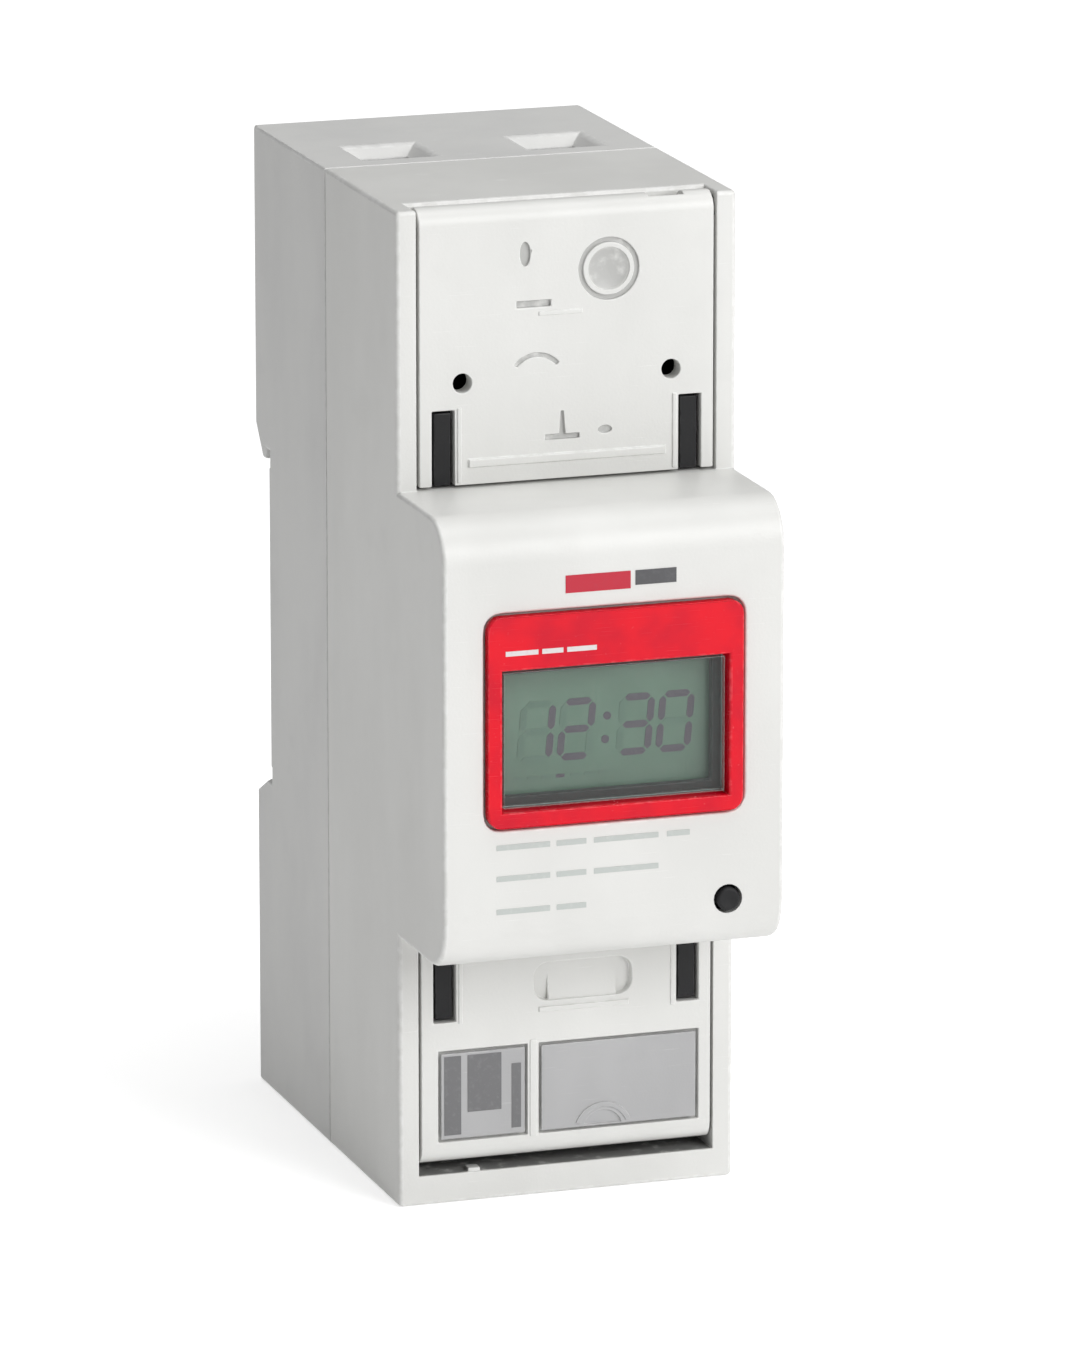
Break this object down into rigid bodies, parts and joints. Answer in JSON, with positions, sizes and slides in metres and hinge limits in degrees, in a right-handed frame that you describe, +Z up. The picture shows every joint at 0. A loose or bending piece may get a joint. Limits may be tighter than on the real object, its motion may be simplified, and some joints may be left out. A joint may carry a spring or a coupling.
{
  "type": "din rail timer",
  "caption": "Narrow rail-mounted timer with a raised display nose, red-framed screen, flap covers over screw terminals and a sprung rail latch.",
  "frame": {"origin": "centre of the flat face that rests on the front of the rail", "axes": "+X to the reader's right, +Y towards the rail and the wall, +Z up"},
  "size_m": [0.0358, 0.0645, 0.103],
  "materials": {
    "grey_housing": "light grey moulded polycarbonate, fine spark texture",
    "white_housing": "off-white moulded polycarbonate, fine spark texture",
    "black_plastic": "black moulded plastic",
    "red_gloss": "glossy red frame",
    "clear_window": "clear acrylic window",
    "display_glass": "grey-green liquid-crystal glass",
    "grey_marking": "grey marking inlay",
    "contact_rubber": "striped contact rubber",
    "circuit_board": "green solder mask over glass laminate",
    "relay_case": "blue relay case",
    "film_case": "yellow capacitor case",
    "can_sleeve": "dark capacitor sleeve",
    "blue_coating": "blue dipped coating",
    "ceramic_body": "ceramic resistor body",
    "plated_steel": "zinc-plated steel",
    "tinned_brass": "tinned brass",
    "grey_latch": "dark grey moulded latch"
  },
  "bodies": {
    "housing": {"rear_housing": "grey_housing", "front_housing": "white_housing", "upper_terminal_shroud": "black_plastic", "lower_terminal_shroud": "black_plastic", "display_bezel": "red_gloss", "window_lens": "clear_window", "lcd_frame": "black_plastic", "lcd_panel": "display_glass", "elastomer_strip_upper": "contact_rubber", "elastomer_strip_lower": "contact_rubber", "display_board": "circuit_board", "power_board": "circuit_board", "board_header": "black_plastic", "relay": "relay_case", "film_capacitor": "film_case", "electrolytic_capacitor": "can_sleeve", "varistor": "blue_coating", "bridge_rectifier": "black_plastic", "fuse_resistor": "ceramic_body", "microcontroller": "black_plastic", "crystal": "plated_steel", "battery_holder": "black_plastic", "coin_cell": "plated_steel", "tact_switch": "plated_steel", "latch_spring": "plated_steel", "contact_bar_1": "tinned_brass", "contact_bar_2": "tinned_brass", "contact_bar_3": "tinned_brass", "contact_bar_4": "tinned_brass", "contact_bar_5": "tinned_brass"},
    "upper_cover": {"upper_terminal_cover": "white_housing"},
    "lower_cover": {"lower_terminal_cover": "white_housing", "marking_plate_left": "grey_marking", "marking_plate_right": "grey_marking"},
    "button": {"push_button": "black_plastic", "tact_plunger": "black_plastic"},
    "latch": {"din_latch": "grey_latch"},
    "screw_1": {"terminal_screw_1": "plated_steel"},
    "cage_1": {"terminal_cage_1": "plated_steel"},
    "screw_2": {"terminal_screw_2": "plated_steel"},
    "cage_2": {"terminal_cage_2": "plated_steel"},
    "screw_3": {"terminal_screw_3": "plated_steel"},
    "cage_3": {"terminal_cage_3": "plated_steel"},
    "screw_4": {"terminal_screw_4": "plated_steel"},
    "cage_4": {"terminal_cage_4": "plated_steel"},
    "screw_5": {"terminal_screw_5": "plated_steel"},
    "cage_5": {"terminal_cage_5": "plated_steel"}
  },
  "joints": [
    {"name": "upper_cover_hinge", "type": "hinge", "parent": "housing", "child": "upper_cover", "pos_m": [0, -0.0422, 0.0497], "axis": [-1, 0, 0], "range_deg": [0, 110]},
    {"name": "lower_cover_hinge", "type": "hinge", "parent": "housing", "child": "lower_cover", "pos_m": [0, -0.0422, -0.0456], "axis": [1, 0, 0], "range_deg": [0, 105]},
    {"name": "button_press", "type": "slide", "parent": "housing", "child": "button", "axis": [0, 1, 0], "range_m": [0, 0.0005], "stiffness_N_per_m": 1500},
    {"name": "latch_slide", "type": "slide", "parent": "housing", "child": "latch", "axis": [0, 0, -1], "range_m": [0, 0.004], "stiffness_N_per_m": 500, "springref_m": -0.003, "deforming": ["latch_spring"]},
    {"name": "screw_1_turn", "type": "hinge", "parent": "housing", "child": "screw_1", "pos_m": [-0.00895, -0.0255, 0.044], "axis": [0, 1, 0], "range_deg": [0, 1749]},
    {"name": "cage_1_lift", "type": "slide", "parent": "housing", "child": "cage_1", "axis": [0, -1, 0], "range_m": [0, 0.0034]},
    {"name": "screw_2_turn", "type": "hinge", "parent": "housing", "child": "screw_2", "pos_m": [0.00895, -0.0255, 0.044], "axis": [0, 1, 0], "range_deg": [0, 1749]},
    {"name": "cage_2_lift", "type": "slide", "parent": "housing", "child": "cage_2", "axis": [0, -1, 0], "range_m": [0, 0.0034]},
    {"name": "screw_3_turn", "type": "hinge", "parent": "housing", "child": "screw_3", "pos_m": [-0.011, -0.0255, -0.044], "axis": [0, 1, 0], "range_deg": [0, 1749]},
    {"name": "cage_3_lift", "type": "slide", "parent": "housing", "child": "cage_3", "axis": [0, -1, 0], "range_m": [0, 0.0034]},
    {"name": "screw_4_turn", "type": "hinge", "parent": "housing", "child": "screw_4", "pos_m": [0, -0.0255, -0.044], "axis": [0, 1, 0], "range_deg": [0, 1749]},
    {"name": "cage_4_lift", "type": "slide", "parent": "housing", "child": "cage_4", "axis": [0, -1, 0], "range_m": [0, 0.0034]},
    {"name": "screw_5_turn", "type": "hinge", "parent": "housing", "child": "screw_5", "pos_m": [0.011, -0.0255, -0.044], "axis": [0, 1, 0], "range_deg": [0, 1749]},
    {"name": "cage_5_lift", "type": "slide", "parent": "housing", "child": "cage_5", "axis": [0, -1, 0], "range_m": [0, 0.0034]}
  ],
  "couplings": [
    {"joint": "screw_1_turn", "follows": "cage_1_lift", "rad_per_m": 8976},
    {"joint": "screw_2_turn", "follows": "cage_2_lift", "rad_per_m": 8976},
    {"joint": "screw_3_turn", "follows": "cage_3_lift", "rad_per_m": 8976},
    {"joint": "screw_4_turn", "follows": "cage_4_lift", "rad_per_m": 8976},
    {"joint": "screw_5_turn", "follows": "cage_5_lift", "rad_per_m": 8976}
  ]
}
